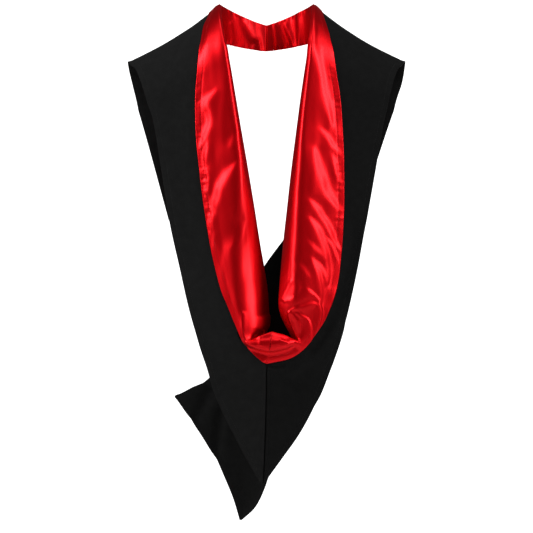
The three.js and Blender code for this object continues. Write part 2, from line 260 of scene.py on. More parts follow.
SIDE_NAMES = {LEFT: "left", RIGHT: "right"}
STITCH_LENGTH = 2.6 * MM
STITCH_PITCH = 3.6 * MM
STITCH_START = 4 * STITCH_PITCH  # from each end of the edge
THREAD_WIDTH = 0.7 * MM  # thicker than real thread, so that the stitches show


def edge_stitches(name, grid, normal, inset, at_last, material):
    """A line of sewn stitches beside one edge of a sheet: its last column, or else its first."""
    across = distance_across(grid)
    beside = across[:, -1:] - across if at_last else across
    column = np.argmin(np.abs(beside - inset), axis=1)
    row = np.arange(len(grid))
    line, up = grid[row, column], normal[row, column]
    line = line + up * (satin_wall / 2)
    way = np.concatenate([[0], np.cumsum(np.linalg.norm(np.diff(line, axis=0), axis=-1))])
    bm = bmesh.new()
    for place in np.arange(STITCH_START, way[-1] - STITCH_START, STITCH_PITCH):
        ends = [Vector([np.interp(place + half, way, line[:, i]) for i in range(3)])
                for half in (-STITCH_LENGTH / 2, STITCH_LENGTH / 2)]
        above = Vector([np.interp(place, way, up[:, i]) for i in range(3)]).normalized()
        along = (ends[1] - ends[0]).normalized()
        aside = along.cross(above).normalized()
        turn = Matrix((along, aside, aside.cross(along) * -1)).transposed().to_4x4()
        shape = Matrix.Diagonal((STITCH_LENGTH / 2, THREAD_WIDTH / 2, THREAD_WIDTH / 2, 1))
        middle = Matrix.Translation((ends[0] + ends[1]) / 2)
        bmesh.ops.create_icosphere(bm, subdivisions=1, radius=1, matrix=middle @ turn @ shape)
    bmesh.ops.recalc_face_normals(bm, faces=bm.faces)
    piece = placed(name, bm, material)
    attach(piece, "root")


# Materials

def linear(hex_colour):
    """An sRGB hex colour as linear RGBA."""
    values = [int(hex_colour[i:i + 2], 16) / 255 for i in (1, 3, 5)]
    return (*[v / 12.92 if v <= 0.04045 else ((v + 0.055) / 1.055) ** 2.4 for v in values], 1)


def add(tree, kind, settings=None, inputs=None, links=None):
    """Adds a node with its settings, socket values and links from other nodes' outputs."""
    node = tree.nodes.new(kind)
    for name, value in (settings or {}).items():
        setattr(node, name, value)
    for name, value in (inputs or {}).items():
        node.inputs[name].default_value = value
    for name, output in (links or {}).items():
        tree.links.new(output, node.inputs[name])
    return node


def new_material(name):
    material = bpy.data.materials.new(name)
    material.use_nodes = True
    material.node_tree.nodes.clear()
    return material, material.node_tree


MOTTLE_SIZE = 14 * MM
MOTTLE_DEPTH = 0.6 * MM
WEAVE_SIZE = 2.4 * MM  # coarser than the real weave, which is too fine to show
WEAVE_DEPTH = 0.25 * MM
FACING_LENGTH = 750 * MM  # the UVs run once over the length and width of a facing laid flat
FACING_WIDTH = 150 * MM
FLOAT_LENGTH = 12.5 * MM  # the floats are coarser than real ones, which are too fine to show
FLOAT_WIDTH = 0.9375 * MM
FLOAT_DEPTH = 0.2 * MM
WAVE_PERIOD = pi / 10  # a wave texture of scale 1 repeats after this
TWIST_PITCH = 2.262 * MM  # coarser than the real twist, which is too fine to show
TWIST_DEPTH = 0.1 * MM


def woollen_cloth(name, dark, light):
    """Matt black woollen-look cloth, plain woven and napped: it drinks the light and is softly mottled."""
    material, tree = new_material(name)
    place = add(tree, "ShaderNodeTexCoord").outputs["Object"]
    nap = add(tree, "ShaderNodeTexNoise", inputs={"Scale": 1 / MOTTLE_SIZE, "Detail": 5.0, "Roughness": 0.6},
              links={"Vector": place})
    grain = add(tree, "ShaderNodeTexNoise", inputs={"Scale": 1 / WEAVE_SIZE, "Detail": 2.0},
                links={"Vector": place})
    colour = add(tree, "ShaderNodeMix", {"data_type": "RGBA"}, links={"Factor": nap.outputs["Fac"]})
    colour.inputs["A"].default_value = linear(dark)
    colour.inputs["B"].default_value = linear(light)
    nap_bump = add(tree, "ShaderNodeBump", inputs={"Strength": 0.25, "Distance": MOTTLE_DEPTH},
                   links={"Height": nap.outputs["Fac"]})
    weave_bump = add(tree, "ShaderNodeBump", inputs={"Strength": 0.3, "Distance": WEAVE_DEPTH},
                     links={"Height": grain.outputs["Fac"], "Normal": nap_bump.outputs["Normal"]})
    shader = add(tree, "ShaderNodeBsdfPrincipled",
                 inputs={"Roughness": 0.85, "Specular IOR Level": 0.1,
                         "Sheen Weight": 0.02, "Sheen Roughness": 0.5},
                 links={"Base Color": colour.outputs["Result"], "Normal": weave_bump.outputs["Normal"]})
    add(tree, "ShaderNodeOutputMaterial", links={"Surface": shader.outputs["BSDF"]})
    return material


def red_satin():
    """Glossy red satin, warp floats on its face: it mirrors the light in broad soft streaks of red."""
    material, tree = new_material("warp_faced_red_satin")
    uv = add(tree, "ShaderNodeTexCoord").outputs["UV"]
    floats_across_uv = (FACING_LENGTH / FLOAT_LENGTH, FACING_WIDTH / FLOAT_WIDTH, 1)
    floats = add(tree, "ShaderNodeMapping", inputs={"Scale": floats_across_uv}, links={"Vector": uv})
    slub = add(tree, "ShaderNodeTexNoise", inputs={"Scale": 1.0, "Detail": 3.0},
               links={"Vector": floats.outputs["Vector"]})
    colour = add(tree, "ShaderNodeMix", {"data_type": "RGBA"}, links={"Factor": slub.outputs["Fac"]})
    colour.inputs["A"].default_value = linear("#d80012")
    colour.inputs["B"].default_value = linear("#e00418")
    bump = add(tree, "ShaderNodeBump", inputs={"Strength": 0.08, "Distance": FLOAT_DEPTH},
               links={"Height": slub.outputs["Fac"]})
    shader = add(tree, "ShaderNodeBsdfPrincipled",
                 inputs={"Metallic": 0.85, "Roughness": 0.42, "Specular IOR Level": 0.1,
                         "Coat Weight": 0.35, "Coat Roughness": 0.32},
                 links={"Base Color": colour.outputs["Result"], "Normal": bump.outputs["Normal"]})
    add(tree, "ShaderNodeOutputMaterial", links={"Surface": shader.outputs["BSDF"]})
    return material


def sewing_thread(name, hex_colour, roughness):
    """Twisted polyester thread: smooth and a little glossy, so each stitch catches a short gleam."""
    material, tree = new_material(name)
    place = add(tree, "ShaderNodeTexCoord").outputs["Object"]
    twist = add(tree, "ShaderNodeTexWave", inputs={"Scale": WAVE_PERIOD / TWIST_PITCH, "Distortion": 0.5},
                links={"Vector": place})
    bump = add(tree, "ShaderNodeBump", inputs={"Strength": 0.3, "Distance": TWIST_DEPTH},
               links={"Height": twist.outputs["Fac"]})
    shader = add(tree, "ShaderNodeBsdfPrincipled",
                 inputs={"Base Color": linear(hex_colour), "Roughness": roughness},
                 links={"Normal": bump.outputs["Normal"]})
    add(tree, "ShaderNodeOutputMaterial", links={"Surface": shader.outputs["BSDF"]})
    return material


# The right half and the tail take a darker copy of the same cloth: painted shade, for the weaker light that
# reaches them from the left
BLACK_CLOTH = woollen_cloth("napped_black_woollen_cloth", "#1a1a1a", "#262626")
CLOTH_WITH_PAINTED_SHADE = woollen_cloth("napped_black_woollen_cloth_painted_shade", "#131313", "#1e1e1e")
SATIN = red_satin()
RED_THREAD = sewing_thread("twisted_red_polyester_thread", "#c80414", 0.35)
BLACK_THREAD = sewing_thread("twisted_black_polyester_thread", "#1c1c1c", 0.5)


# Shells: the black cape and cowl, one half each side

SHELL_ROWS = 330
SHELL_COLUMNS = 110
SHELL_CROWDING = 1.4  # above 1 the columns crowd towards the inner edge, where the seam's groove is
SEAM_TOP_SHARE = 0.68
# Rows from the cowl's tip up the back to the shoulder, with x as in across_at and z as a share of the hood's
# length. Columns: inner_x inner_z outer_x outer_z
LEFT_BACK = [
    (-0.025, 0.93, -0.052, 0.924),
    (-0.018, 0.888, -0.14, 0.883),
    (-0.011, 0.83, -0.246, 0.828),
    (-0.004, 0.768, -0.353, 0.768),
    (0, 0.708, -0.427, 0.706),
    (0, 0.683, -0.456, 0.683),
    (-0.083, 0.668, -0.478, 0.665),
    (-0.2, 0.645, -0.504, 0.641),
    (-0.21, 0.585, -0.557, 0.59),
    (-0.21, 0.5, -0.624, 0.512),
    (-0.215, 0.41, -0.696, 0.426),
    (-0.24, 0.312, -0.752, 0.332),
    (-0.275, 0.216, -0.82, 0.222),
    (-0.308, 0.12, -0.895, 0.16),
    (-0.34, 0.06, -0.925, 0.138),
    (-0.352, 0.025, -0.955, 0.124),
    (-0.36, 0.006, -0.98, 0.119),
    (-0.362, 0, -1, 0),
]
RIGHT_BACK = [
    (-0.025, 0.93, -0.01, 0.925),
    (-0.018, 0.888, 0.104, 0.883),
    (-0.011, 0.83, 0.246, 0.828),
    (-0.004, 0.768, 0.367, 0.768),
    (0, 0.708, 0.463, 0.706),
    (0, 0.683, 0.493, 0.683),
    (0.13, 0.67, 0.515, 0.665),
    (0.28, 0.647, 0.541, 0.641),
    (0.26, 0.588, 0.592, 0.59),
    (0.25, 0.5, 0.657, 0.512),
    (0.265, 0.41, 0.716, 0.426),
    (0.285, 0.312, 0.778, 0.332),
    (0.305, 0.216, 0.851, 0.222),
    (0.32, 0.12, 0.905, 0.16),
    (0.343, 0.06, 0.93, 0.138),
    (0.352, 0.025, 0.957, 0.124),
    (0.358, 0.006, 0.98, 0.119),
    (0.36, 0, 1, 0),
]
# Rows from the shoulder down the front, where the inner edge follows the neckband.
# Columns: band_turn band_level outer_x outer_z
LEFT_FRONT = [
    (0.9, 0.93, -0.992, 0.128),
    (0.78, 0.78, -0.965, 0.158),
    (0.69, 0.5, -0.925, 0.205),
    (0.64, 0.4, -0.85, 0.276),
    (0.61, 0.25, -0.775, 0.35),
    (0.59, 0.04, -0.705, 0.42),
]
RIGHT_FRONT = [
    (0.9, 0.93, 0.994, 0.128),
    (0.78, 0.78, 0.974, 0.156),
    (0.69, 0.5, 0.924, 0.2),
    (0.64, 0.25, 0.846, 0.263),
    (0.61, 0.04, 0.75, 0.342),
]


def shell_grid(side, back_rows, front_rows):
    middle = cloth_wall / 2
    seat_out = satin_wall / 2 + seam_gap + middle
    rows = []
    for inner_x, inner_z, outer_x, outer_z in back_rows:
        x, edge = across_at(inner_x), across_at(outer_x)
        seam = x if inner_z > SEAM_TOP_SHARE else 0
        inner_path = path_to(x, -inner_z * hood_length)
        outer_path = path_to(edge, -outer_z * hood_length)
        rows.append((seam, x, inner_path, edge, outer_path, 0))
    for turn, level, outer_x, outer_z in front_rows:
        seat = on_band(side, turn, level, seat_out)
        edge = across_at(outer_x)
        path = -path_to(seat[0], seat[2])
        forward = seat[1] - on_cape(seat[0], path, middle)[1]
        rows.append((0, seat[0], path, edge, -path_to(edge, -outer_z * hood_length), forward))
    curve = curves_of("seam_x inner_x inner_path outer_x outer_path forward", rows)
    along, across = shares(SHELL_ROWS, SHELL_COLUMNS)
    across = across**SHELL_CROWDING
    seam_x = side * curve["seam_x"](along) + seam_gap / 2
    inner_x = side * np.maximum(side * curve["inner_x"](along), seam_x)
    x = blend(inner_x, curve["outer_x"](along), across)
    path = blend(curve["inner_path"](along), curve["outer_path"](along), across)
    grid = on_cape(x, path, middle)
    grid[..., 1] += curve["forward"](along) * (1 - across) ** 2
    return grid


# Folds as in the satin's tables: on the left a hollow where the cloth hangs from the shoulder, on the right
# the tuck under the lip, a hollow beside the satin and a soft fold that falls from it
SHELL_FOLDS = {
    LEFT: [
        (-3.0, 16, 22, (-175, 150), (-165, 260), (-150, 380), (-120, 520)),
    ],
    RIGHT: [
        (-3.0, 3, 3, (1, 651), (16, 656), (36, 652)),
        (-5.0, 18, 14, (70, 640), (105, 590), (140, 500), (165, 380)),
        (4.0, 14, 16, (40, 690), (75, 660), (110, 625), (140, 570)),
    ],
}


CLOTH_SWELL = 1.2 * MM
CLOTH_SWELL_SIZE = (0.09, 0.09, 0.16)
CLOTH_STITCH_INSET = 10 * MM
# Ridges beside an edge: the height, the distance from the edge and half the width
OUTER_RIM = (0.5 * MM, 2 * MM, 2.2 * MM)
CLOTH_STITCH_GROOVE = (-0.35 * MM, CLOTH_STITCH_INSET, 1.2 * MM)
SEAM_RIM = (0.9 * MM, 4 * MM, 2 * MM)
SEAM_GROOVE = (-2.0 * MM, 0, 1.6 * MM)
SEAM_SHOWS = (0.69, 0.71)  # shares of the length over which the seam comes out from under the lip


def shell(name, side, back_rows, front_rows, node):
    grid = shell_grid(side, back_rows, front_rows)
    normal = outward_normals(grid)
    height = noise_field(grid, CLOTH_SWELL_SIZE, side + 3) * CLOTH_SWELL
    across = distance_across(grid)
    from_edge = across[:, -1:] - across
    height += edge_ridge(from_edge, OUTER_RIM) + edge_ridge(from_edge, CLOTH_STITCH_GROOVE)
    below_lip = step(*SEAM_SHOWS, share_down(grid))
    height += below_lip * (edge_ridge(across, SEAM_RIM) + edge_ridge(across, SEAM_GROOVE))
    height += fold_height(grid, SHELL_FOLDS[side])
    grid = grid + normal * height[..., None]
    stitches = "cloth_stitches_" + SIDE_NAMES[side]
    edge_stitches(stitches, grid, normal, CLOTH_STITCH_INSET, True, BLACK_THREAD)
    # The right half takes the darker copy of the cloth, which is painted shade
    cloth = BLACK_CLOTH if side == LEFT else CLOTH_WITH_PAINTED_SHADE
    return cloth_piece(name, grid, cloth_wall, cloth, [node])


# Facings: the turned-out satin

FACING_ROWS = 430
FACING_COLUMNS = 110
# The cloth rises from the hem over a flank to the crest, and falls over a brow to the roll
FLANK_SHARE = 0.4
FLANK_LIFT = 0.44
BROW_COLUMN = round(0.6 * (FACING_COLUMNS - 1))
BROW_SHARE = 0.52
BROW_FALL = 0.55
# Sections from the neck point down to the lip: x as in across_at, z as a share of the hood's length, and the
# lifts and y as shares of back_depth
SECTION_COLUMNS = "hem_x hem_z crest_x crest_z crest_lift roll_x roll_z roll_lift inside_x inside_z inside_y"
LEFT_SECTIONS = [
    (-0.41, 0, -0.366, 0, 0.034, -0.338, 0, 0.022, -0.366, 0.07, 0.004),
    (-0.424, 0.029, -0.35, 0.021, 0.045, -0.332, 0.012, 0.015, -0.36, 0.066, -0.3),
    (-0.454, 0.047, -0.335, 0.043, 0.06, -0.319, 0.039, 0.01, -0.348, 0.068, -0.62),
    (-0.472, 0.073, -0.318, 0.07, 0.07, -0.3, 0.068, 0, -0.342, 0.09, -0.7),
    (-0.49, 0.101, -0.3, 0.098, 0.085, -0.274, 0.1, -0.01, -0.332, 0.116, -0.76),
    (-0.513, 0.177, -0.262, 0.173, 0.105, -0.23, 0.171, -0.02, -0.298, 0.182, -0.83),
    (-0.509, 0.254, -0.227, 0.246, 0.125, -0.187, 0.241, -0.04, -0.26, 0.254, -0.87),
    (-0.482, 0.328, -0.208, 0.316, 0.14, -0.141, 0.312, -0.09, -0.213, 0.326, -0.9),
    (-0.446, 0.403, -0.212, 0.394, 0.13, -0.092, 0.39, -0.15, -0.166, 0.402, -0.91),
    (-0.396, 0.481, -0.228, 0.473, 0.095, -0.045, 0.469, -0.24, -0.118, 0.482, -0.91),
    (-0.338, 0.545, -0.212, 0.541, 0.075, 0, 0.539, -0.32, -0.076, 0.554, -0.88),
    (-0.281, 0.585, -0.19, 0.585, 0.065, 0.016, 0.585, -0.36, -0.032, 0.606, -0.84),
    (-0.22, 0.625, -0.17, 0.622, 0.06, 0.014, 0.626, -0.4, -0.018, 0.645, -0.8),
    (-0.169, 0.655, -0.158, 0.648, 0.06, -0.076, 0.648, -0.28, -0.032, 0.66, -0.74),
    (-0.104, 0.677, -0.097, 0.661, 0.09, -0.072, 0.646, 0.04, -0.054, 0.666, -0.86),
]
RIGHT_SECTIONS = [
    (0.396, 0, 0.364, 0, 0.034, 0.334, 0, 0.022, 0.36, 0.07, 0.004),
    (0.413, 0.029, 0.35, 0.021, 0.045, 0.326, 0.012, 0.015, 0.354, 0.066, -0.3),
    (0.436, 0.047, 0.342, 0.043, 0.06, 0.317, 0.04, 0.01, 0.345, 0.068, -0.62),
    (0.462, 0.073, 0.335, 0.07, 0.07, 0.302, 0.07, 0, 0.348, 0.09, -0.7),
    (0.486, 0.101, 0.322, 0.1, 0.09, 0.291, 0.101, -0.01, 0.35, 0.116, -0.76),
    (0.529, 0.177, 0.294, 0.175, 0.115, 0.251, 0.177, -0.04, 0.318, 0.186, -0.83),
    (0.551, 0.254, 0.268, 0.252, 0.135, 0.214, 0.254, -0.07, 0.285, 0.264, -0.87),
    (0.56, 0.328, 0.256, 0.326, 0.15, 0.18, 0.326, -0.12, 0.256, 0.337, -0.9),
    (0.558, 0.403, 0.244, 0.401, 0.155, 0.149, 0.401, -0.17, 0.228, 0.412, -0.91),
    (0.542, 0.477, 0.236, 0.475, 0.155, 0.119, 0.473, -0.2, 0.198, 0.486, -0.91),
    (0.511, 0.546, 0.228, 0.545, 0.145, 0.096, 0.543, -0.15, 0.172, 0.558, -0.88),
    (0.457, 0.591, 0.215, 0.587, 0.115, 0.09, 0.587, -0.11, 0.155, 0.61, -0.8),
    (0.392, 0.626, 0.238, 0.616, 0.08, 0.137, 0.622, -0.14, 0.184, 0.641, -0.8),
    (0.313, 0.656, 0.25, 0.648, 0.065, 0.218, 0.652, -0.03, 0.191, 0.666, -0.8),
    (0.184, 0.685, 0.162, 0.666, 0.1, 0.144, 0.643, 0.04, 0.126, 0.666, -0.86),
]
LIP_SEAM = (0, 0.697, 0.022, 0.67, 0.13, 0.04, 0.635, 0.06, 0.04, 0.662, -0.86)


def facing_grid(side, sections):
    hem_lift = cloth_wall + layer_gap + satin_wall / 2
    rows = []
    for section in [*sections, LIP_SEAM]:
        shift = side * seam_gap / 2 if section is LIP_SEAM else 0
        named = dict(zip(SECTION_COLUMNS.split(), section))
        hem_x, crest_x, roll_x, inside_x = [
            across_at(named[name]) + shift for name in ("hem_x", "crest_x", "roll_x", "inside_x")
        ]
        rows.append((
            hem_x, path_to(hem_x, -named["hem_z"] * hood_length),
            crest_x, path_to(crest_x, -named["crest_z"] * hood_length), named["crest_lift"] * back_depth,
            roll_x, path_to(roll_x, -named["roll_z"] * hood_length), named["roll_lift"] * back_depth,
            inside_x, named["inside_y"] * back_depth, -named["inside_z"] * hood_length,
        ))
    rolled = "hem_x hem_path crest_x crest_path crest_lift roll_x roll_path roll_lift"
    curve = curves_of(rolled + " inside_x inside_y inside_z", rows)
    along, across = shares(FACING_ROWS, FACING_COLUMNS)
    lead = along[:, 0]
    at = {name: read(lead) for name, read in curve.items()}
    flank_x = blend(at["hem_x"], at["crest_x"], FLANK_SHARE)
    flank_path = blend(at["hem_path"], at["crest_path"], FLANK_SHARE)
    brow_x = blend(at["crest_x"], at["roll_x"], BROW_SHARE)
    brow_path = blend(at["crest_path"], at["roll_path"], BROW_SHARE)
    brow_lift = np.maximum(at["crest_lift"] - BROW_FALL * np.abs(brow_x - at["crest_x"]),
                           blend(at["crest_lift"], at["roll_lift"], BROW_SHARE))
    stations = np.stack([
        on_cape(at["hem_x"], at["hem_path"], hem_lift),
        on_cape(flank_x, flank_path, blend(hem_lift, at["crest_lift"], FLANK_LIFT)),
        on_cape(at["crest_x"], at["crest_path"], at["crest_lift"]),
        on_cape(brow_x, brow_path, brow_lift),
        on_cape(at["roll_x"], at["roll_path"], at["roll_lift"]),
        np.stack([at["inside_x"], at["inside_y"], at["inside_z"]], axis=-1),
    ])
    return rounded(stations, across[0]).swapaxes(0, 1)


# Faces of the satin that tilt towards the hem and catch the light: slope, then the width in millimetres, then
# the places that the face runs through, in millimetres right of the middle and down from the neck points
LEFT_FACES = [
    (0.25, 6, (-102, 22), (-107, 44), (-113, 65), (-118, 87)),
    (0.36, 8, (-93, 157), (-102, 166), (-110, 175), (-111, 186), (-106, 200), (-104, 215), (-109, 229),
     (-115, 244), (-120, 256)),
    (0.34, 5, (-107, 251), (-109, 262), (-112, 276), (-112, 292)),
    (0.34, 6, (-109, 303), (-108, 317), (-109, 332), (-110, 346)),
    (0.38, 9, (-55, 287), (-67, 301), (-78, 316), (-85, 330), (-89, 344), (-93, 359), (-91, 373)),
    (0.34, 6, (-98, 362), (-100, 379), (-102, 393), (-102, 409)),
    (0.25, 7, (-55, 235), (-62, 245), (-67, 256)),
    (0.38, 10, (-40, 393), (-48, 406), (-55, 420), (-61, 433)),
    (0.3, 3, (-97, 418), (-96, 433)),
    (0.1, 3, (-80, 452), (-76, 476), (-69, 506)),
]
RIGHT_FACES = [
    (0.38, 9, (89, 42), (88, 65), (92, 88), (97, 110), (102, 130), (105, 150), (108, 167), (112, 183),
     (116, 200), (119, 216)),
    (0.34, 5, (98, 226), (107, 235), (114, 245), (121, 256), (129, 263)),
    (0.36, 11, (87, 263), (91, 281), (96, 299), (102, 317), (107, 332), (116, 348), (127, 364)),
    (0.3, 5, (120, 274), (125, 292), (130, 314)),
    (0.38, 6, (78, 353), (85, 361), (93, 370), (100, 382), (109, 395), (116, 409), (123, 425), (132, 442)),
    (0.34, 3.5, (109, 422), (118, 434), (125, 449), (129, 463)),
    (0.4, 7, (78, 386), (85, 395), (93, 406), (98, 418), (103, 434), (109, 452), (112, 470), (114, 488),
     (111, 505)),
    (0.25, 5, (75, 427), (85, 438), (96, 447), (105, 460)),
    (0.42, 5, (82, 458), (87, 469), (93, 483), (97, 497), (100, 514), (100, 530), (97, 544)),
    (0.36, 4.5, (89, 463), (100, 476), (107, 490), (112, 503)),
    (0.28, 5, (55, 465), (66, 476), (75, 490)),
    (0.38, 4.5, (54, 488), (57, 502), (58, 514), (55, 525)),
    (0.3, 3, (36, 536), (46, 532), (52, 527)),
    (0.45, 2.6, (73, 512), (80, 518), (88, 525), (94, 532), (96, 537)),
    (0.42, 2.2, (42, 552), (50, 547), (60, 544), (70, 542)),
    (0.45, 4, (66, 543), (74, 540), (82, 538), (89, 539)),
    (0.65, 2.2, (44, 555), (51, 561), (58, 571), (61, 582), (60, 595), (60, 608)),
    (0.42, 3, (48, 555), (59, 558), (69, 564)),
    (0.45, 2, (69, 562), (76, 569), (80, 580), (81, 597), (82, 607)),
    (0.6, 2.6, (96, 539), (99, 548), (100, 558), (96, 578), (91, 596), (84, 607)),
    (0.28, 2.4, (125, 515), (120, 539), (107, 573), (96, 593)),
]

# Folds of the satin as they show on the back: height, then the width on each side of the fold, then the
# places that it runs through, in millimetres to the right of the middle and down from the neck points.
# The first width is on the right of a fold that runs down. A fold below the surface has a height below 0.
LEFT_FOLDS = [
    (1.2, 6, 3, (-43, 552), (-43, 572), (-43, 590), (-42, 607)),
    (3.0, 14, 10, (-4, 560), (-2, 575), (-4, 590)),
    (2.6, 5, 11, (-44, 610), (-30, 612), (-15, 609), (0, 608), (12, 607), (24, 608)),
    (0.9, 4, 4, (-11, 598), (-10, 607), (-11, 617)),
    (-5.0, 6, 9, (-48, 612), (-25, 625), (-10, 630), (10, 632), (25, 628)),
    (2.2, 6, 5, (-38, 618), (-20, 636), (-2, 646)),
]
RIGHT_FOLDS = [
    (0.9, 4, 4, (46, 495), (38, 512), (32, 523), (26, 536)),
    (0.6, 3, 4, (52, 526), (41, 533), (30, 537)),
    (1.6, 2.6, 2.2, (40, 552), (42, 566), (49, 585), (57, 604)),
    (2.6, 5, 11, (-20, 609), (0, 608), (12, 607), (24, 608), (40, 612), (56, 608)),
    (1.2, 3, 3, (22, 604), (32, 609), (41, 614)),
    (0.9, 3, 3, (33, 608), (45, 606), (56, 607)),
    (-5.0, 6, 9, (-15, 630), (10, 632), (25, 629), (42, 622), (57, 612)),
]


FACE_STEPS = 12  # steps along a face for each of its places
FACE_TAPER = 0.25  # share of a face's length over which each end narrows
FACE_END_WIDTH = 0.5  # share of the width that is left at an end
FACE_REACH = 3  # widths from a face's line, beyond which it doesn't count
SOLVER_STEPS = 500
FOLD_STEPS = 30  # steps along a fold for each of its places
FOLD_FADE = 0.15  # share of a fold's length over which each end fades
FOLD_REACH = 4  # widths from a fold's line, beyond which it doesn't count


def face_height(grid, side, faces):
    """Height, in metres, of cloth that is held at the hem and beyond the crest and tilts as the faces say."""
    grid = grid[:, :BROW_COLUMN]
    places = np.stack([grid[..., 0], -grid[..., 2]], axis=-1) / MM
    tilt = np.zeros(places.shape)
    for slope, width, *points in faces:
        shares_along = np.linspace(0, 1, FACE_STEPS * len(points))
        line = smooth(np.array(points, dtype=float))(shares_along[:, None])
        way = np.gradient(line, axis=0)
        way /= np.linalg.norm(way, axis=-1, keepdims=True)
        whole = step(0, FACE_TAPER, shares_along) * step(0, FACE_TAPER, 1 - shares_along)
        widths = width * blend(FACE_END_WIDTH, 1, whole)
        reach = FACE_REACH * width
        near = np.all((places > line.min(axis=0) - reach) & (places < line.max(axis=0) + reach), axis=-1)
        strength = np.exp(-((places[near][:, None] - line) ** 2).sum(axis=-1) / widths**2)
        nearest = np.argmax(strength, axis=1)
        to_hem = np.stack([way[nearest, 1], side * way[nearest, 0]], axis=-1)
        rise = slope * strength.max(axis=1)[:, None] * to_hem
        stronger = np.abs(rise[:, :1]) > np.abs(tilt[near][:, :1])
        tilt[near] = np.where(stronger, rise, tilt[near])
    return settled(grid, tilt)


def settled(grid, tilt):
    """The height that comes nearest to a tilt across and along, with the first and last columns held."""
    across = np.linalg.norm(np.diff(grid, axis=1), axis=-1)
    along = np.linalg.norm(np.diff(grid, axis=0), axis=-1)
    pull_across = np.median(along) / across
    pull_along = np.median(across) / along
    free = np.ones(grid.shape[:2])
    free[:, [0, -1]] = 0

    def pulls(on_across, on_along):
        total = np.zeros(free.shape)
        total[:, :-1] -= on_across
        total[:, 1:] += on_across
        total[:-1] -= on_along
        total[1:] += on_along
        return total * free

    wanted_across = (tilt[:, 1:, 0] + tilt[:, :-1, 0]) / 2 * across
    wanted_along = (tilt[1:, :, 1] + tilt[:-1, :, 1]) / 2 * along
    left_over = pulls(wanted_across * pull_across, wanted_along * pull_along)
    height = np.zeros(free.shape)
    move = left_over.copy()
    for _ in range(SOLVER_STEPS):
        answer = pulls(np.diff(move, axis=1) * pull_across, np.diff(move, axis=0) * pull_along)
        size = (left_over**2).sum()
        length = size / (move * answer).sum()
        height += length * move
        left_over = left_over - length * answer
        move = left_over + move * (left_over**2).sum() / size
    return np.concatenate([height, np.zeros((len(grid), FACING_COLUMNS - BROW_COLUMN))], axis=1)


def fold_height(grid, folds):
    """Height of the folds, in metres, at each point of the grid."""
    places = np.stack([grid[..., 0], -grid[..., 2]], axis=-1) / MM
    height = np.zeros(grid.shape[:2])
    for rise, right_width, left_width, *points in folds:
        shares_along = np.linspace(0, 1, FOLD_STEPS * len(points))
        line = smooth(np.array(points, dtype=float))(shares_along[:, None])
        way = np.gradient(line, axis=0)
        way /= np.linalg.norm(way, axis=-1, keepdims=True)
        reach = FOLD_REACH * max(right_width, left_width)
        near = np.all((places > line.min(axis=0) - reach) & (places < line.max(axis=0) + reach), axis=-1)
        gap = places[near][:, None] - line
        nearest = np.argmin((gap**2).sum(axis=-1), axis=1)
        gap = gap[np.arange(len(nearest)), nearest]
        beside = way[nearest, 0] * gap[:, 1] - way[nearest, 1] * gap[:, 0]
        beyond = (way[nearest] * gap).sum(axis=-1)
        width = np.where(beside < 0, right_width, left_width)
        at = shares_along[nearest]
        fade = step(0, FOLD_FADE, at) * step(0, FOLD_FADE, 1 - at)
        height[near] += rise * fade * np.exp(-(beside / width) ** 2 - (beyond / (2 * width)) ** 2)
    return height * MM


TURNED_BACK = (0.05, 0.5)  # how far a point faces back, from where folds don't count to where they do
PUCKERS = (1.6 * MM, 8 * MM, 7 * MM)  # a band beside the hem, as the ridges beside an edge
PUCKER_SIZE = (0.02, 0.05, 0.0045)
PUCKER_PATCH_SIZE = (0.03, 0.03, 0.03)
PUCKER_PATCH_SHARE = 0.35
PUCKERS_BEGIN = (0.1, 0.16)  # shares of the length
PUCKERS_END = (0.4, 0.48)
HEM_GROOVE = (-0.25 * MM, 12 * MM, 1.6 * MM)
LOOSE_GROOVE = 0.2  # share of the groove's depth where there are no puckers
HEM_STITCH_INSET = 11 * MM
CREASE_HEIGHT = 0.4 * MM
CREASE_SIZE = (0.014, 0.02, 0.04)


def facing(name, side, sections, faces, folds, node):
    grid = facing_grid(side, sections)
    normal = outward_normals(grid)
    seen = step(*TURNED_BACK, -normal[..., 1])
    height = fold_height(grid, folds) * seen + face_height(grid, side, faces)
    from_hem = distance_across(grid)
    down = share_down(grid)
    pucker = noise_field(grid, PUCKER_SIZE, side + 4) * edge_ridge(from_hem, PUCKERS)
    uneven = np.maximum(noise_field(grid, PUCKER_PATCH_SIZE, side + 11) + PUCKER_PATCH_SHARE, 0)
    pulled = step(*PUCKERS_BEGIN, down) * (1 - step(*PUCKERS_END, down))
    height += pucker * uneven * pulled
    height += edge_ridge(from_hem, HEM_GROOVE) * blend(LOOSE_GROOVE, 1, pulled)
    height += CREASE_HEIGHT * noise_field(grid, CREASE_SIZE, side + 8) * seen
    grid = grid + normal * height[..., None]
    stitches = "hem_stitches_" + SIDE_NAMES[side]
    edge_stitches(stitches, grid, normal, HEM_STITCH_INSET, False, RED_THREAD)
    return cloth_piece(name, grid, satin_wall, SATIN, [node])


# Neckband

BAND_ROWS = 150
BAND_COLUMNS = 40
BAND_LEAN = 16 * MM
BAND_RUFFLE = 1.2 * MM
BAND_RUFFLE_SIZE = (0.006, 0.006, 0.03)
BAND_HEM = (1, 0, 0.13)  # where the ruffle is: a ridge beside an edge, in shares of the band's height
BAND_RUFFLE_START = 0.08  # turn from the seam at the centre front
BAND_SEAM_DEPTH = 1.4 * MM
BAND_SEAM_TURN = 0.014
BAND_END_TURN = 1.035  # the band's end lies behind the first row of the satin facing, where it is sewn down
BAND_FOLDS = [
    (2.2, 7, 9, (-52, -6), (-44, 22), (-35, 42), (-20, 70)),
    (2.0, 4, 7, (-17, 16), (-19, 44), (-14, 64), (-8, 98)),
    (0.7, 4, 4, (-66, 30), (-62, 56), (-57, 96)),
    (1.2, 6, 4, (10, 14), (14, 34), (18, 58), (20, 96)),
    (1.8, 6, 5, (28, 8), (36, 40), (44, 58), (56, 94)),
    (2.2, 7, 5, (56, -10), (59, 26), (60, 48), (57, 90)),
]


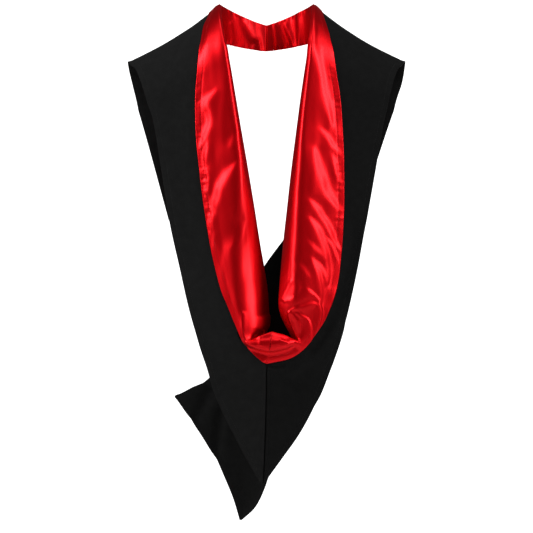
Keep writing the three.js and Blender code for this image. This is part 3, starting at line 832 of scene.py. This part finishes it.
def neckband(name, side, node):
    along, rise = shares(BAND_ROWS, BAND_COLUMNS)
    turn = blend(0, BAND_END_TURN, along)
    grid = on_band(side, turn, rise, 0)
    normal = outward_normals(grid)
    hems = edge_ridge(rise, BAND_HEM) + edge_ridge(1 - rise, BAND_HEM)
    ruffle = noise_field(grid, BAND_RUFFLE_SIZE, side + 2) * hems
    height = BAND_RUFFLE * ruffle * step(0, BAND_RUFFLE_START, turn)
    height -= BAND_SEAM_DEPTH * (1 - step(0, BAND_SEAM_TURN, turn))
    height += fold_height(grid, BAND_FOLDS)
    grid = grid + normal * height[..., None]
    grid[..., 1] += BAND_LEAN * (rise - 0.5) * np.cos(turn * pi / 2)
    return cloth_piece(name, grid, satin_wall, SATIN, [node])


# Liripipe: the double-layered tail behind the cowl

TAIL_GRID_ROWS = 220
TAIL_GRID_COLUMNS = 70
TAIL_BEND = 3  # above 1 most of the change in depth is near the right edge
TAIL_FOLDS = [
    (-6.0, 11, 13, (-95, 688), (-105, 706), (-118, 732), (-130, 758)),
    (-4.5, 10, 12, (-78, 725), (-84, 760), (-88, 795), (-86, 830)),
]
# Rows from the hidden upper end down to the tip: x as in across_at, z as a share of the hood's length,
# and how far inside the cowl each edge lies, as a share of back_depth.
# Columns: left_x left_z left_in right_x right_z right_in
TAIL_ROWS = [
    (0.155, 0.446, 0.48, 0.328, 0.427, 0.3),
    (-0.011, 0.506, 0.5, 0.508, 0.488, 0.1),
    (-0.104, 0.554, 0.52, 0.59, 0.554, 0),
    (-0.205, 0.612, 0.52, 0.54, 0.612, 0),
    (-0.32, 0.674, 0.45, 0.478, 0.674, 0),
    (-0.407, 0.724, 0.36, 0.386, 0.738, 0),
    (-0.551, 0.746, 0.3, 0.31, 0.786, 0),
    (-0.618, 0.755, 0.28, 0.255, 0.812, 0),
    (-0.659, 0.76, 0.27, 0.222, 0.828, 0),
    (-0.632, 0.771, 0.26, 0.188, 0.843, 0),
    (-0.566, 0.797, 0.25, 0.146, 0.862, 0),
    (-0.465, 0.837, 0.24, 0.079, 0.889, 0),
    (-0.381, 0.875, 0.23, 0.02, 0.912, 0),
    (-0.306, 0.914, 0.22, -0.012, 0.935, 0.02),
    (-0.246, 0.953, 0.21, -0.05, 0.959, 0.07),
    (-0.215, 0.979, 0.2, -0.098, 0.979, 0.12),
    (-0.193, 1.0, 0.2, -0.184, 0.999, 0.18),
]


def liripipe(name, node):
    seat = -(tail_wall / 2 + layer_gap)
    rows = []
    for left_x, left_z, left_in, right_x, right_z, right_in in TAIL_ROWS:
        low, high = across_at(left_x), across_at(right_x)
        rows.append((
            low, path_to(low, -left_z * hood_length), seat - left_in * back_depth,
            high, path_to(high, -right_z * hood_length), seat - right_in * back_depth,
        ))
    curve = curves_of("left_x left_path left_lift right_x right_path right_lift", rows)
    along, across = shares(TAIL_GRID_ROWS, TAIL_GRID_COLUMNS)
    at = {name: read(along) for name, read in curve.items()}
    x = blend(at["left_x"], at["right_x"], across)
    path = blend(at["left_path"], at["right_path"], across)
    grid = on_cape(x, path, blend(at["left_lift"], at["right_lift"], across**TAIL_BEND))
    normal = outward_normals(grid)
    grid = grid + normal * fold_height(grid, TAIL_FOLDS)[..., None]
    # The tail takes the darker copy of the cloth, which is painted shade
    return cloth_piece(name, grid, tail_wall, CLOTH_WITH_PAINTED_SHADE, [node])


shell_left = shell("shell_left_cloth", LEFT, LEFT_BACK, LEFT_FRONT, "shell_left")
shell_right = shell("shell_right_cloth", RIGHT, RIGHT_BACK, RIGHT_FRONT, "shell_right")
facing_left = facing("facing_left_satin", LEFT, LEFT_SECTIONS, LEFT_FACES, LEFT_FOLDS, "facing_left")
facing_right = facing("facing_right_satin", RIGHT, RIGHT_SECTIONS, RIGHT_FACES, RIGHT_FOLDS, "facing_right")
band_left = neckband("neckband_left_satin", LEFT, "neckband_left")
band_right = neckband("neckband_right_satin", RIGHT, "neckband_right")
tail = liripipe("liripipe_cloth", "liripipe")


# Camera, floor and light

photo_pixels = 533
metres_per_pixel = 1.8 * MM
photo_middle = photo_pixels / 2
neck_pixel_x = 266.5
neck_pixel_y = 3.6
lens = 500
sensor = 12
frame_width = photo_pixels * metres_per_pixel
focus_y = -0.07  # the depth at which a pixel is as wide as in the photograph

camera_data = bpy.data.cameras.new("camera")
camera_data.lens = lens
camera_data.sensor_width = sensor
camera_data.clip_end = 100
camera = bpy.data.objects.new("camera", camera_data)
distance = frame_width * lens / sensor
camera.location = (
    (photo_middle - neck_pixel_x) * metres_per_pixel,
    focus_y - distance,
    -(photo_middle - neck_pixel_y) * metres_per_pixel,
)
camera.rotation_euler = (pi / 2, 0, 0)
bpy.context.collection.objects.link(camera)
bpy.context.scene.camera = camera

# The floor is a pale disc well below the hood, which hangs as if it were worn
floor_drop = 1.3
floor_radius = 2.2
bm = bmesh.new()
bmesh.ops.create_circle(bm, cap_ends=True, segments=64, radius=floor_radius)
bmesh.ops.translate(bm, verts=bm.verts, vec=(0, 0, -floor_drop))
floor_mesh = bpy.data.meshes.new("floor")
bm.to_mesh(floor_mesh)
bm.free()
floor = bpy.data.objects.new("floor", floor_mesh)
bpy.context.collection.objects.link(floor)
floor_paint, floor_tree = new_material("pale_matt_floor")
floor_shader = add(floor_tree, "ShaderNodeBsdfPrincipled",
                   inputs={"Base Color": linear("#f2f2f0"), "Roughness": 0.9})
add(floor_tree, "ShaderNodeOutputMaterial", links={"Surface": floor_shader.outputs["BSDF"]})
floor_mesh.materials.append(floor_paint)


lit_point = (0, 0, -0.42)


def softbox(name, place, width, height, watts):
    light = bpy.data.lights.new(name, "AREA")
    light.shape = "RECTANGLE"
    light.size = width
    light.size_y = height
    light.energy = watts
    lamp = bpy.data.objects.new(name, light)
    lamp.location = place
    lamp.rotation_euler = (Vector(lit_point) - Vector(place)).to_track_quat("-Z", "Y").to_euler()
    bpy.context.collection.objects.link(lamp)


softbox("left_light", (-2.7, -1.3, 0.8), 0.9, 2.4, 66)
softbox("right_light", (2.7, -1.3, 0.7), 0.8, 2.4, 52)
softbox("top_front_light", (1.3, -2.0, 1.5), 1.2, 0.9, 16)
softbox("top_light", (0.0, -0.6, 1.9), 1.8, 1.6, 14)
softbox("back_light", (0.5, 2.7, -0.85), 1.6, 0.8, 40)

# The camera sees a white surround, as in a studio, and the hood is lit by a dimmer one
seen_strength = 1.2
lit_strength = 0.05
world = bpy.data.worlds.new("studio")
bpy.context.scene.world = world
world.use_nodes = True
world.node_tree.nodes.clear()
white = linear("#ffffff")
surround = add(world.node_tree, "ShaderNodeBackground", inputs={"Color": white, "Strength": seen_strength})
dim = add(world.node_tree, "ShaderNodeBackground", inputs={"Color": white, "Strength": lit_strength})
rays = add(world.node_tree, "ShaderNodeLightPath")
seen = add(world.node_tree, "ShaderNodeMixShader", links={"Fac": rays.outputs["Is Camera Ray"]})
world.node_tree.links.new(dim.outputs["Background"], seen.inputs[1])
world.node_tree.links.new(surround.outputs["Background"], seen.inputs[2])
add(world.node_tree, "ShaderNodeOutputWorld", links={"Surface": seen.outputs["Shader"]})
bpy.context.scene.view_settings.view_transform = "Standard"
bpy.context.scene.view_settings.look = "Medium High Contrast"
